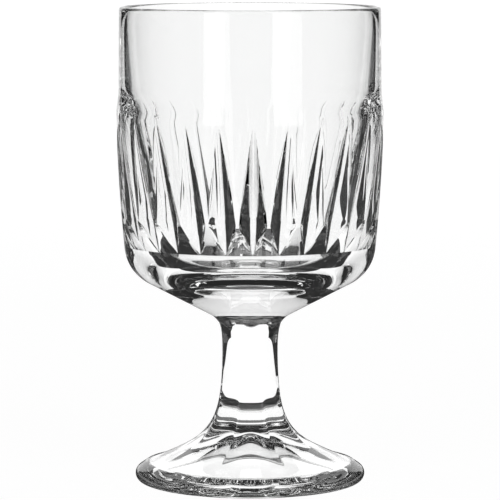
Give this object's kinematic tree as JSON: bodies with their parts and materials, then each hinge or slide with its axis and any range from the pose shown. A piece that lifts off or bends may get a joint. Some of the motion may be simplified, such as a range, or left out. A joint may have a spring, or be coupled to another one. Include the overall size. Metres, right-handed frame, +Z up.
{
  "type": "water goblet",
  "caption": "Clear pressed-glass water goblet: a straight-sided heavy bowl with pointed ribs on its inside, a short panelled stem and a round hollow foot.",
  "frame": {"origin": "centre of the foot's resting ring, on the table", "axes": "+Z up along the goblet's axis, towards the rim; -Y towards the viewer of the picture"},
  "size_m": [0.0848, 0.0848, 0.1514],
  "materials": {
    "clear_glass": "fire-polished, clear and colourless"
  },
  "bodies": {
    "root": {"bowl": "clear_glass", "stem": "clear_glass", "foot": "clear_glass"}
  },
  "joints": []
}
